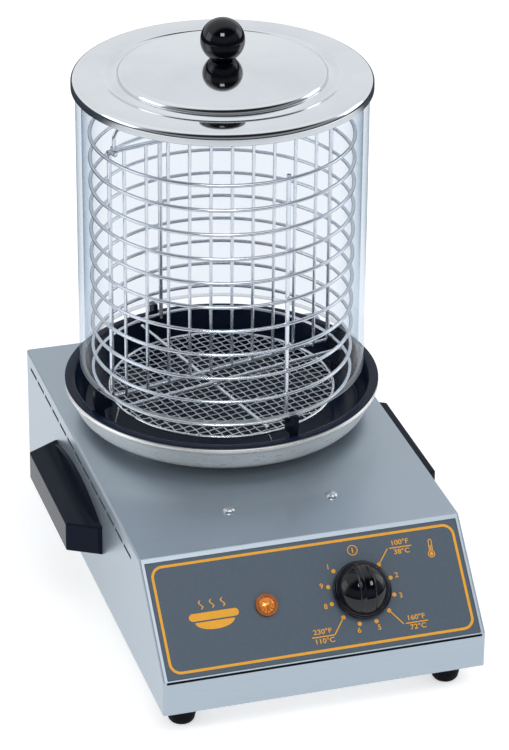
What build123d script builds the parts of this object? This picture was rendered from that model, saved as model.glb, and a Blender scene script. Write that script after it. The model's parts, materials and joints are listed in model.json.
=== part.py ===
from build123d import *
import math
import os

# Electric hot dog steamer.  A heated sheet-steel base carries a shallow water pan.  A glass
# cylinder with a lid stands over the pan and holds a round wire basket with a divider.
# Millimetres.  +X to the right, +Y to the back, +Z up.  The saved parts have their origin on
# the table, in the middle of the footprint.  Heights in this file are taken from a datum
# DATUM_Z above the table, and save() lifts every part by that much.

# ---------------------------------------------------------------- driving dimensions
DATUM_Z = 9.8                # the datum of all heights below, above the table

# housing
BOX_WIDTH = 223.0            # over the side walls
FRONT_Y = -192.0             # front skirt
REAR_Y = 182.0               # rear wall
BOX_BOTTOM_Z = 10.0          # lower edge of the walls
BOX_TOP_Z = 95.0             # top plate
SLOPE_RUN = 59.5             # the control face falls 45 degrees over this run
SHEET = 1.2                  # steel sheet
BEND_RADIUS = 1.6            # outside of the bends of the sheet
SLOT_COUNT = 13              # cooling slots under each top side edge
SLOT_LENGTH = 18.6
SLOT_HEIGHT = 2.6
SLOT_PITCH = 22.0
SLOT_Z = 85.0
SLOT_MIDDLE_Y = 28.5
FLANGE_WIDTH = 13.0          # inward flanges at the foot of the walls
FOOT_INSET_X = 18.9
FOOT_INSET_Y = 24.0
FOOT_RADIUS = 9.9
SEAM_HEIGHT = 1.9            # black seam strip across the front, under the slope
SEAM_DEPTH = 0.7
SEAM_LIP = 0.3               # steel left between the strip and the fold

# control face, in its own plane: x along the machine, t up the slope, n out of it
WINDOW_HALF_WIDTH = 108.4
WINDOW_LOW_T = 0.6
WINDOW_HIGH_T = 80.6
WINDOW_GAP = 0.3
FASCIA_THICKNESS = 1.0
KNOB_X = 33.1
KNOB_T = 41.0
KNOB_RADIUS = 19.8
KNOB_HEIGHT = 17.5
LAMP_X = -32.8
LAMP_T = 41.0
LAMP_RADIUS = 7.6
SHAFT_RADIUS = 3.0
SHAFT_CLEARANCE = 0.05

# steam pot, round about a vertical axis
POT_Y = 53.7                 # axis of pan, glass, basket and lid
HOT_PLATE_Z = 102.0
HOT_PLATE_RADIUS = 88.0
BOSS_RADIUS = 82.0           # part of the hot plate that stands through the top plate
PAN_RIM_RADIUS = 110.9
PAN_RIM_Z = 123.7
GLASS_RADIUS = 100.0
GLASS_WALL = 4.0
GLASS_EDGE_RADIUS = 1.3      # fire-polished ends
GLASS_BOTTOM_Z = 136.0       # the tube stands on four rests, clear of the pan
GLASS_TOP_Z = 350.6
REST_STEP_Z = 129.1          # inner step of each glass rest, under the basket
LID_RADIUS = 102.9
LID_SHEET = 1.0
LID_SKIRT = 8.3
LID_DOME = 11.6
SEAT_LAND = 8.5              # flat middle of the dome, under the knob
DOME_MIDDLE = 0.56           # share of the rise that is left half way out
LID_EDGE_RADIUS = 4.0
SHOULDER_RADIUS = 67.6       # the dome ends in a steep shoulder
SHOULDER_HEIGHT = 4.4
GROOVE_INNER = 71.8          # pressed groove between shoulder and margin
GROOVE_OUTER = 82.6
GROOVE_DEPTH = 2.3
BALL_RADIUS = 15.3
BALL_FLAT_RADIUS = 7.2

# wire basket, turned about the pot axis so that the divider shows its face to the front left
BASKET_TURN = 13.8
RING_COUNT = 11
RING_PITCH = 17.93
RING_TOP_Z = 309.7
RING_RADIUS = 90.5
RING_WIRE = 1.25
POST_WIRE = 1.5
DIVIDER_WIRE = 1.15
DIVIDER_COUNT = 10
DIVIDER_PITCH = 16.9
DIVIDER_SHIFT = -1.8
FLOOR_WIRE = 1.25
BAIL_WIRE = 1.25
BAIL_TOP_Z = 340.0
BAIL_ARM_T = 84.0
EYE_CLEARANCE = 0.1

# wire grid in the pan
GRID_RADIUS = 80.2
GRID_Z = 115.0
GRID_RIM_WIRE = 1.1
GRID_WIRE = 0.45
GRID_PITCH = 6.25
GRID_LEGS = 4

# side handles
HANDLE_MIDDLE_Y = 28.1
HANDLE_LENGTH = 129.0
HANDLE_OUTER_LENGTH = 106.0
HANDLE_REACH = 22.8
HANDLE_LOW_Z = 44.4
HANDLE_HIGH_Z = 66.2
HANDLE_PLATE_RISE = 8.0
HANDLE_WALL = 3.0

# ---------------------------------------------------------------- helpers
os.makedirs("parts", exist_ok=True)

HALF_WIDTH = BOX_WIDTH / 2
SKIRT_TOP_Z = BOX_TOP_Z - SLOPE_RUN
FOLD_Y = FRONT_Y + SLOPE_RUN
DIAGONAL = math.sqrt(0.5)
FASCIA_PLANE = Plane(origin=(0, FRONT_Y, SKIRT_TOP_Z), x_dir=(1, 0, 0),
                     z_dir=(0, -DIAGONAL, DIAGONAL))
POT = Pos(0, POT_Y, 0)
BASKET = POT * Rot(0, 0, BASKET_TURN)


def save(name, *solids):
    """Write one named node from one or more separate solids."""
    flat = [Pos(0, 0, DATUM_Z) * piece for item in solids for piece in item.solids()]
    shape = flat[0] if len(flat) == 1 else Compound(children=flat)
    shape.label = name
    export_step(shape, f"parts/{name}.step")


def block(x0, x1, y0, y1, z0, z1):
    """A box between two corners."""
    return Pos((x0 + x1) / 2, (y0 + y1) / 2, (z0 + z1) / 2) * Box(x1 - x0, y1 - y0, z1 - z0)


def rod(start, end, radius):
    """A straight round bar between two points."""
    start, end = Vector(*start), Vector(*end)
    plane = Plane(origin=start, z_dir=(end - start))
    return extrude(plane * Circle(radius), amount=(end - start).length)


def disc(radius, z0, z1, hole=0.0):
    """A round plate on the Z axis, with an optional middle hole."""
    plate = Pos(0, 0, (z0 + z1) / 2) * Cylinder(radius, z1 - z0)
    if hole:
        plate -= Pos(0, 0, (z0 + z1) / 2) * Cylinder(hole, (z1 - z0) * 3)
    return plate


def spun(points):
    """A solid of revolution about Z from a closed outline of (radius, z) points."""
    outline = make_face(Polyline(*[(r, z) for r, z in points], close=True))
    return revolve(Plane.XZ * outline, axis=Axis.Z)


def ring(radius, z, wire):
    """A round wire hoop on the Z axis."""
    return Pos(0, 0, z) * Torus(radius, wire)


def on_slope(x, t, n, part):
    """Place a part on the control face: x along it, t up it, n out of it."""
    return FASCIA_PLANE * Pos(x, t, n) * part


def slope_block(x0, x1, t0, t1, n0, n1):
    """A box given in control face coordinates."""
    return FASCIA_PLANE * block(x0, x1, t0, t1, n0, n1)


def slope_disc(x, t, radius, n0, n1, hole=0.0):
    """A round plate square to the control face."""
    return FASCIA_PLANE * Pos(x, t, 0) * disc(radius, n0, n1, hole)


def bent_wire(points, radii, radius):
    """A round wire along straight runs joined by tangent arcs."""
    path = FilletPolyline(*points, radius=radii)
    start = Plane(origin=path @ 0, z_dir=path % 0)
    return sweep(start * Circle(radius), path=path)


# ---------------------------------------------------------------- base housing
def box_body(shrink):
    """The wedge-fronted box, smaller all round by `shrink`, with bent edges."""
    lean = shrink * math.tan(math.radians(22.5))
    front, rear = FRONT_Y + shrink, REAR_Y - shrink
    top = BOX_TOP_Z - shrink
    low = BOX_BOTTOM_Z - (20.0 if shrink else 0.0)
    outline = Polyline((front, low), (front, SKIRT_TOP_Z - lean), (FOLD_Y + lean, top),
                       (rear, top), (rear, low), close=True)
    body = extrude(Plane.YZ * make_face(outline), amount=HALF_WIDTH - shrink, both=True)
    side = HALF_WIDTH - shrink
    edges = [e for e in body.edges()
             if abs(abs(e.center().X) - side) < 0.01 and e.center().Z > low + 1.0]
    edges += [e for e in body.edges() if abs(e.center().X) < 0.01 and e.center().Z > top - 1.0]
    return fillet(edges, BEND_RADIUS - shrink)


def wall_flanges():
    """Inward flanges that the base plate is screwed to."""
    z0 = BOX_BOTTOM_Z + SHEET
    z1 = z0 + SHEET
    x_in, y_front, y_rear = HALF_WIDTH - SHEET, FRONT_Y + SHEET, REAR_Y - SHEET
    flanges = block(-x_in, x_in, y_front, y_rear, z0, z1)
    flanges -= block(-x_in + FLANGE_WIDTH, x_in - FLANGE_WIDTH,
                     y_front + FLANGE_WIDTH, y_rear - FLANGE_WIDTH, z0 - 1, z1 + 1)
    return flanges & box_body(SHEET)


def side_slots():
    """Thin cooling slots in a dashed line along both sides."""
    cutters = []
    first = SLOT_MIDDLE_Y - SLOT_PITCH * (SLOT_COUNT - 1) / 2
    for i in range(SLOT_COUNT):
        y = first + i * SLOT_PITCH
        cutters.append(Pos(0, y, SLOT_Z) * Box(BOX_WIDTH * 1.2, SLOT_LENGTH, SLOT_HEIGHT))
    return cutters


PLATE_SCREW_SPOTS = [(x * (HALF_WIDTH - 8.0), y) for x in (-1, 1) for y in (-120.0, 0.0, 120.0)]
FOOT_SPOTS = [(x * (HALF_WIDTH - FOOT_INSET_X), y) for x in (-1, 1)
              for y in (FRONT_Y + FOOT_INSET_Y, REAR_Y - FOOT_INSET_Y)]
TOP_SCREW_SPOTS = [(x * 36.3, -87.1) for x in (-1, 1)]
HANDLE_SCREW_SPOTS = [(HANDLE_MIDDLE_Y + d, 55.0) for d in (-57.0, 57.0)]
GLAND_X, GLAND_Z = -70.0, 34.0
SEAM_HALF_WIDTH = 109.0
SEAM_TOP_Z = SKIRT_TOP_Z - SEAM_LIP
SEAM_LOW_Z = SEAM_TOP_Z - SEAM_HEIGHT

housing = box_body(0.0) - box_body(SHEET) + wall_flanges()
housing -= slope_block(-WINDOW_HALF_WIDTH, WINDOW_HALF_WIDTH, WINDOW_LOW_T, WINDOW_HIGH_T,
                       -3.0, 3.0)
housing -= side_slots()
housing -= block(-SEAM_HALF_WIDTH, SEAM_HALF_WIDTH, FRONT_Y - 1, FRONT_Y + SEAM_DEPTH,
                 SEAM_LOW_Z, SEAM_TOP_Z)
housing -= POT * disc(BOSS_RADIUS + 1.0, BOX_TOP_Z - 5, BOX_TOP_Z + 5)
for x, y in TOP_SCREW_SPOTS:
    housing -= Pos(x, y, 0) * disc(2.0, BOX_TOP_Z - 5, BOX_TOP_Z + 5)
for x, y in PLATE_SCREW_SPOTS:
    housing -= Pos(x, y, 0) * disc(1.75, BOX_BOTTOM_Z, BOX_BOTTOM_Z + 6)
for y, z in HANDLE_SCREW_SPOTS:
    housing -= rod((-BOX_WIDTH, y, z), (BOX_WIDTH, y, z), 2.0)
housing -= rod((GLAND_X, REAR_Y - 10, GLAND_Z), (GLAND_X, REAR_Y + 10, GLAND_Z), 6.0)
save("housing", housing)
save("seam_gasket", block(-SEAM_HALF_WIDTH, SEAM_HALF_WIDTH, FRONT_Y + 0.15, FRONT_Y + SEAM_DEPTH,
                          SEAM_LOW_Z, SEAM_TOP_Z))

base_plate = block(-HALF_WIDTH + SHEET, HALF_WIDTH - SHEET, FRONT_Y + SHEET, REAR_Y - SHEET,
                   BOX_BOTTOM_Z, BOX_BOTTOM_Z + SHEET) & box_body(SHEET)
for x, y in PLATE_SCREW_SPOTS:
    base_plate -= Pos(x, y, 0) * disc(1.75, BOX_BOTTOM_Z - 3, BOX_BOTTOM_Z + 6)
for x, y in FOOT_SPOTS:
    base_plate -= Pos(x, y, 0) * disc(2.0, BOX_BOTTOM_Z - 3, BOX_BOTTOM_Z + 6)
for row in range(5):
    for column in range(7):
        spot = Pos((column - 3) * 18.0, POT_Y + (row - 2) * 14.0, 0)
        base_plate -= spot * disc(3.0, BOX_BOTTOM_Z - 3, BOX_BOTTOM_Z + 6)
save("base_plate", base_plate)

save("base_plate_screws", *[
    Pos(x, y, 0) * (disc(3.4, BOX_BOTTOM_Z - 2.2, BOX_BOTTOM_Z)
                    + disc(1.75, BOX_BOTTOM_Z - 0.5, BOX_BOTTOM_Z + 8.0))
    for x, y in PLATE_SCREW_SPOTS])


FOOT_RECESS_Z = 2.0
FOOT_HEAD_Z = FOOT_RECESS_Z - 2.4
FOOT_SCREW_TOP_Z = 17.5


def foot():
    """A rubber dome, standing on the table, with a recess for its screw."""
    table = -DATUM_Z
    dome = spun([(0, table), (7.6, table), (8.8, table + 1.6), (9.6, table + 5.0),
                 (FOOT_RADIUS, table + 10.0), (FOOT_RADIUS, BOX_BOTTOM_Z), (0, BOX_BOTTOM_Z)])
    return dome - disc(4.6, table - 1, FOOT_RECESS_Z) - disc(2.0, 0, BOX_BOTTOM_Z + 1)


save("feet", *[Pos(x, y, 0) * foot() for x, y in FOOT_SPOTS])
save("foot_screws", *[
    Pos(x, y, 0) * (disc(3.8, FOOT_HEAD_Z, FOOT_RECESS_Z) + disc(2.0, FOOT_HEAD_Z, FOOT_SCREW_TOP_Z))
    for x, y in FOOT_SPOTS])
NUT_Z = BOX_BOTTOM_Z + SHEET
save("foot_nuts", *[
    Pos(x, y, NUT_Z) * (extrude(RegularPolygon(4.0, 6), amount=3.2) - disc(2.0, -1, 5))
    for x, y in FOOT_SPOTS])


# ---------------------------------------------------------------- side handles
def handle(side):
    """A moulded grip with a raised plate on the wall and a finger pocket from below."""
    wall_x = HALF_WIDTH
    half, half_out = HANDLE_LENGTH / 2, HANDLE_OUTER_LENGTH / 2
    mid = HANDLE_MIDDLE_Y
    plan = Polyline((wall_x, mid - half), (wall_x + 3.0, mid - half),
                    (wall_x + HANDLE_REACH, mid - half_out),
                    (wall_x + HANDLE_REACH, mid + half_out),
                    (wall_x + 3.0, mid + half), (wall_x, mid + half), close=True)
    grip = Pos(0, 0, HANDLE_LOW_Z) * extrude(make_face(plan), amount=HANDLE_HIGH_Z - HANDLE_LOW_Z)
    long_edges = [e for e in grip.edges() if e.center().X > wall_x + 8.0]
    grip = fillet(long_edges, 1.6)
    crest = (mid, HANDLE_HIGH_Z + HANDLE_PLATE_RISE)
    arch = make_face(ThreePointArc((mid - half, HANDLE_HIGH_Z - 2.0), crest,
                                   (mid + half, HANDLE_HIGH_Z - 2.0))
                     + Line((mid + half, HANDLE_HIGH_Z - 2.0), (mid - half, HANDLE_HIGH_Z - 2.0)))
    plate = extrude(Plane.YZ.offset(wall_x) * arch, amount=3.0)
    pocket_in = wall_x + 3.4
    pocket_out = wall_x + HANDLE_REACH - HANDLE_WALL
    pocket = block(pocket_in, pocket_out, mid - half_out + 3.0, mid + half_out - 3.0,
                   HANDLE_LOW_Z - 1.0, HANDLE_HIGH_Z - HANDLE_WALL)
    body = grip + plate - pocket
    for y, z in HANDLE_SCREW_SPOTS:
        body -= rod((wall_x - 1, y, z), (wall_x + 9.0, y, z), 2.0)
    return body if side > 0 else mirror(body, about=Plane.YZ)


save("left_handle", handle(-1))
save("right_handle", handle(1))
handle_screws = []
for side in (-1, 1):
    for y, z in HANDLE_SCREW_SPOTS:
        inner = side * (HALF_WIDTH - SHEET)
        screw = rod((inner, y, z), (side * (HALF_WIDTH + 9.0), y, z), 2.0)
        head = rod((inner - side * 2.6, y, z), (inner, y, z), 3.8)
        handle_screws.append(screw + head)
save("handle_screws", *handle_screws)


# ---------------------------------------------------------------- control face
BRACKET_FRONT_N = -SHEET
BRACKET_BACK_N = -SHEET - 1.2
SENSOR_HOLE = 5.0
THERMOSTAT_SCREW_X = (KNOB_X - 14.0, KNOB_X + 14.0)

fascia_plate = slope_block(-WINDOW_HALF_WIDTH + WINDOW_GAP, WINDOW_HALF_WIDTH - WINDOW_GAP,
                           WINDOW_LOW_T + WINDOW_GAP, WINDOW_HIGH_T - WINDOW_GAP,
                           BRACKET_FRONT_N, BRACKET_FRONT_N + FASCIA_THICKNESS)
control_bracket = slope_block(-105.0, 105.0, 0.7, 83.0, BRACKET_BACK_N, BRACKET_FRONT_N)
panel_holes = [slope_disc(KNOB_X, KNOB_T, SENSOR_HOLE, -4, 4), slope_disc(LAMP_X, LAMP_T, 5.6, -4, 4)]
panel_holes += [slope_disc(x, KNOB_T, 2.0, -4, 4) for x in THERMOSTAT_SCREW_X]
fascia_plate -= panel_holes
control_bracket -= panel_holes
save("fascia_plate", fascia_plate)
save("control_bracket", control_bracket)

fascia_front_n = BRACKET_FRONT_N + FASCIA_THICKNESS
thermostat_back_n = BRACKET_BACK_N - 26.0
thermostat_body = slope_block(KNOB_X - 21, KNOB_X + 21, KNOB_T - 18, KNOB_T + 18,
                              thermostat_back_n, BRACKET_BACK_N)
thermostat_body += slope_disc(KNOB_X, KNOB_T, SENSOR_HOLE - 0.2, BRACKET_BACK_N - 1, fascia_front_n)
thermostat_body += slope_block(KNOB_X - 16, KNOB_X - 10, KNOB_T - 8, KNOB_T + 8,
                               thermostat_back_n - 6, thermostat_back_n + 1)
thermostat_body += slope_block(KNOB_X + 10, KNOB_X + 16, KNOB_T - 8, KNOB_T + 8,
                               thermostat_back_n - 6, thermostat_back_n + 1)
thermostat_body -= slope_disc(KNOB_X, KNOB_T, SHAFT_RADIUS + SHAFT_CLEARANCE, -18.0, 5.0)
for x in THERMOSTAT_SCREW_X:
    thermostat_body -= slope_disc(x, KNOB_T, 1.9, -12.0, 5.0)
save("thermostat_body", thermostat_body)
save("thermostat_screws", *[
    slope_disc(x, KNOB_T, 3.2, fascia_front_n, fascia_front_n + 1.6)
    + slope_disc(x, KNOB_T, 1.9, -11.0, fascia_front_n + 0.5) for x in THERMOSTAT_SCREW_X])

# turning pieces: shaft and knob
KNOB_BASE_N = fascia_front_n + 2.2
thermostat_shaft = slope_disc(KNOB_X, KNOB_T, SHAFT_RADIUS, -17.5, KNOB_BASE_N + 11.0)
save("thermostat_shaft", thermostat_shaft)


def knob():
    """A domed dial knob with a bar grip, hollow over the thermostat bush."""
    skirt = spun([(0, 0), (KNOB_RADIUS, 0), (KNOB_RADIUS, 2.2), (KNOB_RADIUS - 1.2, 3.4), (0, 3.4)])
    dome_height = 12.5
    dome_base = KNOB_RADIUS - 1.4
    ball = (dome_base ** 2 + dome_height ** 2) / (2 * dome_height)
    dome = Pos(0, 0, 3.0 + dome_height - ball) * Sphere(ball)
    dome = dome & disc(KNOB_RADIUS, 3.0, 3.0 + dome_height)
    bar_ball = (dome_base ** 2 + (KNOB_HEIGHT - 3.0) ** 2) / (2 * (KNOB_HEIGHT - 3.0))
    bar = Pos(0, 0, KNOB_HEIGHT - bar_ball) * Sphere(bar_ball)
    bar = bar & block(-5.6, 5.6, -KNOB_RADIUS, KNOB_RADIUS, 2.0, KNOB_HEIGHT)
    groove = Pos(0, 0, KNOB_HEIGHT + 4.5) * Rot(90, 0, 0) * Cylinder(6.2, KNOB_RADIUS * 3)
    body = skirt + dome + (bar - groove)
    body -= disc(9.5, -1.0, 1.4)
    body -= disc(SHAFT_RADIUS, -1.0, 11.0)
    return body


knob_at_rest = on_slope(KNOB_X, KNOB_T, KNOB_BASE_N, knob())
save("control_knob", knob_at_rest)

# signal lamp
save("lamp_bezel", slope_disc(LAMP_X, LAMP_T, LAMP_RADIUS, fascia_front_n, fascia_front_n + 1.6, 5.6))
lens = slope_disc(LAMP_X, LAMP_T, 5.6, BRACKET_FRONT_N, fascia_front_n + 1.2)
lens_dome = on_slope(LAMP_X, LAMP_T, fascia_front_n + 1.2 - 6.2, Sphere(8.35))
lens += lens_dome & slope_disc(LAMP_X, LAMP_T, 5.6, fascia_front_n + 1.1, fascia_front_n + 4.0)
save("lamp_lens", lens)
lamp_back_n = BRACKET_BACK_N - 22.0
save("lamp_body", slope_disc(LAMP_X, LAMP_T, 5.6, lamp_back_n, BRACKET_FRONT_N))
save("lamp_nut", slope_disc(LAMP_X, LAMP_T, 9.0, BRACKET_BACK_N - 4.0, BRACKET_BACK_N, 5.6))

# ---------------------------------------------------------------- heated plate
# Cast plate with a boss through the top plate, and a seat for the pan ring round its edge.
GASKET_TOP_Z = BOX_TOP_Z + 1.0
BOSS_LOW_Z = 87.0
SEAT_Z = HOT_PLATE_Z - 1.0
ELEMENT_RADIUS = 68.0
ELEMENT_TUBE = 4.0
SHIELD_TOP_Z = 66.0
STUD_ANGLES = (90.0, 210.0, 330.0)
STUD_CIRCLE = 45.0

hot_plate = disc(HOT_PLATE_RADIUS, GASKET_TOP_Z, SEAT_Z) + disc(BOSS_RADIUS, BOSS_LOW_Z, HOT_PLATE_Z)
save("hot_plate", POT * hot_plate)
save("hot_plate_gasket", POT * disc(HOT_PLATE_RADIUS - 1, BOX_TOP_Z, GASKET_TOP_Z, BOSS_RADIUS))

element = Pos(0, 0, BOSS_LOW_Z - ELEMENT_TUBE) * Torus(ELEMENT_RADIUS, ELEMENT_TUBE)
element -= block(-12, 12, -ELEMENT_RADIUS - 12, -ELEMENT_RADIUS + 12, 70, 95)
cold_ends = []
for x in (-16.0, 16.0):
    lead_y = -math.sqrt(ELEMENT_RADIUS ** 2 - x ** 2)
    cold_ends.append(rod((x, lead_y - 2.0, BOSS_LOW_Z - ELEMENT_TUBE), (x, lead_y - 34.0,
                     BOSS_LOW_Z - ELEMENT_TUBE), 3.2))
save("heating_element", POT * (element + cold_ends))

clamp_bar = disc(ELEMENT_RADIUS + 5, BOSS_LOW_Z - 2 * ELEMENT_TUBE - 1.5,
                 BOSS_LOW_Z - 2 * ELEMENT_TUBE, ELEMENT_RADIUS - 5)
clamp_bar += [Rot(0, 0, a) * block(STUD_CIRCLE - 6, ELEMENT_RADIUS - 4, -6, 6,
                                   BOSS_LOW_Z - 2 * ELEMENT_TUBE - 1.5, BOSS_LOW_Z - 2 * ELEMENT_TUBE)
              for a in STUD_ANGLES]
clamp_bar -= [Rot(0, 0, a) * Pos(STUD_CIRCLE, 0, 0) * disc(2.5, 70, 90) for a in STUD_ANGLES]
save("element_clamp", POT * clamp_bar)

shield = disc(84.0, SHIELD_TOP_Z - 1.0, SHIELD_TOP_Z) + disc(84.0, SHIELD_TOP_Z, SHIELD_TOP_Z + 8.0, 83.0)
shield -= [Rot(0, 0, a) * Pos(STUD_CIRCLE, 0, 0) * disc(2.5, 60, 90) for a in STUD_ANGLES]
shield -= block(78, 90, -6, 14, SHIELD_TOP_Z, SHIELD_TOP_Z + 10)
save("heat_shield", POT * shield)
save("hot_plate_studs", *[
    POT * Rot(0, 0, a) * Pos(STUD_CIRCLE, 0, 0) * disc(2.5, SHIELD_TOP_Z - 7.0, BOSS_LOW_Z)
    for a in STUD_ANGLES])
NUT_LEVELS = (SHIELD_TOP_Z - 5.0, SHIELD_TOP_Z, BOSS_LOW_Z - 2 * ELEMENT_TUBE - 5.5)
save("hot_plate_nuts", *[
    POT * Rot(0, 0, a) * Pos(STUD_CIRCLE, 0, z) * (extrude(RegularPolygon(5.0, 6), amount=4.0)
                                                 - disc(2.5, -1, 6))
    for a in STUD_ANGLES for z in NUT_LEVELS])

# baffle between the hot zone and the controls, hung from the two round-head screws
BAFFLE_Y = -80.0
baffle = block(-96, 96, BAFFLE_Y, BAFFLE_Y + 1.0, 22.0, BOX_TOP_Z - SHEET)
baffle += block(-96, 96, BAFFLE_Y - 14.0, BAFFLE_Y + 1.0, BOX_TOP_Z - SHEET - 1.0, BOX_TOP_Z - SHEET)
for x, y in TOP_SCREW_SPOTS:
    baffle -= Pos(x, y, 0) * disc(2.0, 85, BOX_TOP_Z)
baffle -= block(-30, 60, BAFFLE_Y - 1, BAFFLE_Y + 2, 10, 34)
baffle -= block(-22, 22, BAFFLE_Y - 1, BAFFLE_Y + 2, 74, 90)
save("heat_baffle", baffle)
save("top_screws", *[
    Pos(x, y, 0) * (spun([(0, BOX_TOP_Z), (4.3, BOX_TOP_Z), (4.1, BOX_TOP_Z + 1.2),
                          (3.0, BOX_TOP_Z + 2.1), (0, BOX_TOP_Z + 2.5)])
                    + disc(2.0, BOX_TOP_Z - 9.0, BOX_TOP_Z + 0.5)) for x, y in TOP_SCREW_SPOTS])
TOP_NUT_Z = BOX_TOP_Z - SHEET - 1.0 - 3.2
save("top_screw_nuts", *[
    Pos(x, y, TOP_NUT_Z) * (extrude(RegularPolygon(4.0, 6), amount=3.2) - disc(2.0, -1, 5))
    for x, y in TOP_SCREW_SPOTS])

# sensor bulb of the thermostat under the clamp, with its thin tube, and the safety cut-out
BULB_Z = BOSS_LOW_Z - 3.0
save("thermostat_bulb", POT * rod((-10, 18, BULB_Z), (60 - 24, 18, BULB_Z), 3.0))
save("thermal_cutout", POT * (disc(8.0, BOSS_LOW_Z - 9.0, BOSS_LOW_Z)
                              + block(-6, -2, -3, 3, BOSS_LOW_Z - 14, BOSS_LOW_Z - 8)
                              + block(2, 6, -3, 3, BOSS_LOW_Z - 14, BOSS_LOW_Z - 8)))
capillary_start = FASCIA_PLANE.from_local_coords(Vector(KNOB_X, KNOB_T - 12.0, thermostat_back_n))
tube_x, tube_y, tube_z = capillary_start
save("thermostat_capillary", bent_wire(
    [(tube_x, tube_y, tube_z), (tube_x, tube_y + 9.0, tube_z - 9.0),
     (tube_x + 4.0, -96.0, 26.0), (tube_x + 6.0, -60.0, 27.0),
     (70.0, POT_Y - 50.0, 42.0), (97.0, POT_Y - 4.0, 56.0), (90.0, POT_Y + 4.0, 71.0),
     (58.0, POT_Y + 14.0, 72.0), (48.0, POT_Y + 18.0, BULB_Z), (36.0, POT_Y + 18.0, BULB_Z)],
    [4.0, 8.0, 12.0, 14.0, 7.0, 6.0, 5.0, 5.0], 0.8))

# ---------------------------------------------------------------- mains entry
gland_bore = 4.0
gland = rod((GLAND_X, REAR_Y, GLAND_Z), (GLAND_X, REAR_Y + 3.0, GLAND_Z), 9.0)
gland += rod((GLAND_X, REAR_Y + 2.5, GLAND_Z), (GLAND_X, REAR_Y + 10.0, GLAND_Z), 7.4)
gland += rod((GLAND_X, REAR_Y - 13.0, GLAND_Z), (GLAND_X, REAR_Y + 1.0, GLAND_Z), 6.0)
gland -= rod((GLAND_X, REAR_Y - 20.0, GLAND_Z), (GLAND_X, REAR_Y + 20.0, GLAND_Z), gland_bore)
save("cable_gland", gland)
gland_nut = extrude(Plane.XZ * RegularPolygon(9.6, 6), amount=4.0)
gland_nut = Pos(GLAND_X, REAR_Y - SHEET, GLAND_Z) * gland_nut
gland_nut -= rod((GLAND_X, REAR_Y - 20.0, GLAND_Z), (GLAND_X, REAR_Y + 5.0, GLAND_Z), 6.0)
save("gland_nut", gland_nut)
TERMINAL_Y = 128.0
terminal_block = block(-88, -52, TERMINAL_Y - 9, TERMINAL_Y + 9, BOX_BOTTOM_Z + SHEET, 26.0)
wire_way = rod((-82, TERMINAL_Y - 20, 19.5), (-82, TERMINAL_Y + 20, 19.5), 2.0)
terminal_block -= [Pos(12 * i, 0, 0) * wire_way for i in range(3)]
save("terminal_block", terminal_block)
save("terminal_screws", *[
    Pos(-82 + 12 * i, TERMINAL_Y + d, 0) * disc(2.2, 26.0, 27.6) for i in range(3) for d in (-5, 5)])

# ---------------------------------------------------------------- water pan
# Spun steel ring that seats on the heated plate and carries the pan by its rim.
RING_SHEET = 1.0
pan_ring = spun([
    (BOSS_RADIUS + 0.2, SEAT_Z), (96.0, SEAT_Z), (100.2, SEAT_Z + 1.2), (103.0, SEAT_Z + 3.8),
    (104.6, SEAT_Z + 7.0), (109.4, 118.4), (110.4, 119.0), (110.9, 120.2), (110.9, 121.0),
    (110.3, 122.0), (109.2, 122.4), (108.2, 121.8), (108.3, 119.4), (103.7, SEAT_Z + 7.6),
    (102.2, SEAT_Z + 4.6), (99.7, SEAT_Z + 2.3), (95.8, SEAT_Z + RING_SHEET),
    (BOSS_RADIUS + 0.2, SEAT_Z + RING_SHEET)])
save("pan_ring", POT * pan_ring)
PAN_FLOOR_Z = HOT_PLATE_Z + 1.2
water_pan = spun([
    (0, HOT_PLATE_Z), (95.0, HOT_PLATE_Z), (97.6, HOT_PLATE_Z + 0.9), (99.0, HOT_PLATE_Z + 3.0),
    (104.0, 121.4), (105.4, 122.7), (110.2, 122.7), (PAN_RIM_RADIUS, 123.2), (110.3, PAN_RIM_Z),
    (105.2, PAN_RIM_Z), (103.2, 122.4), (97.9, HOT_PLATE_Z + 4.0), (96.4, HOT_PLATE_Z + 1.8),
    (94.6, PAN_FLOOR_Z), (0, PAN_FLOOR_Z)])
save("water_pan", POT * water_pan)


def glass_rest():
    """A heat-proof blade in the pan: an outer step for the glass, an inner one for the basket."""
    outline = Polyline((91.5, PAN_FLOOR_Z), (94.2, PAN_FLOOR_Z), (96.6, PAN_FLOOR_Z + 3.4),
                       (99.2, 114.0), (102.2, 126.0), (102.2, GLASS_BOTTOM_Z), (95.2, GLASS_BOTTOM_Z),
                       (94.6, REST_STEP_Z), (88.6, REST_STEP_Z), (88.6, 121.5), (95.0, 120.0),
                       (94.0, 112.0), close=True)
    return extrude(Plane.XZ * make_face(outline), amount=1.6, both=True)


save("glass_rests", *[BASKET * Rot(0, 0, 90 * i) * glass_rest() for i in range(4)])

# ---------------------------------------------------------------- glass cylinder and lid
glass = disc(GLASS_RADIUS, GLASS_BOTTOM_Z, GLASS_TOP_Z, GLASS_RADIUS - GLASS_WALL)
save("glass_cylinder", POT * fillet(glass.edges(), GLASS_EDGE_RADIUS))


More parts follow.
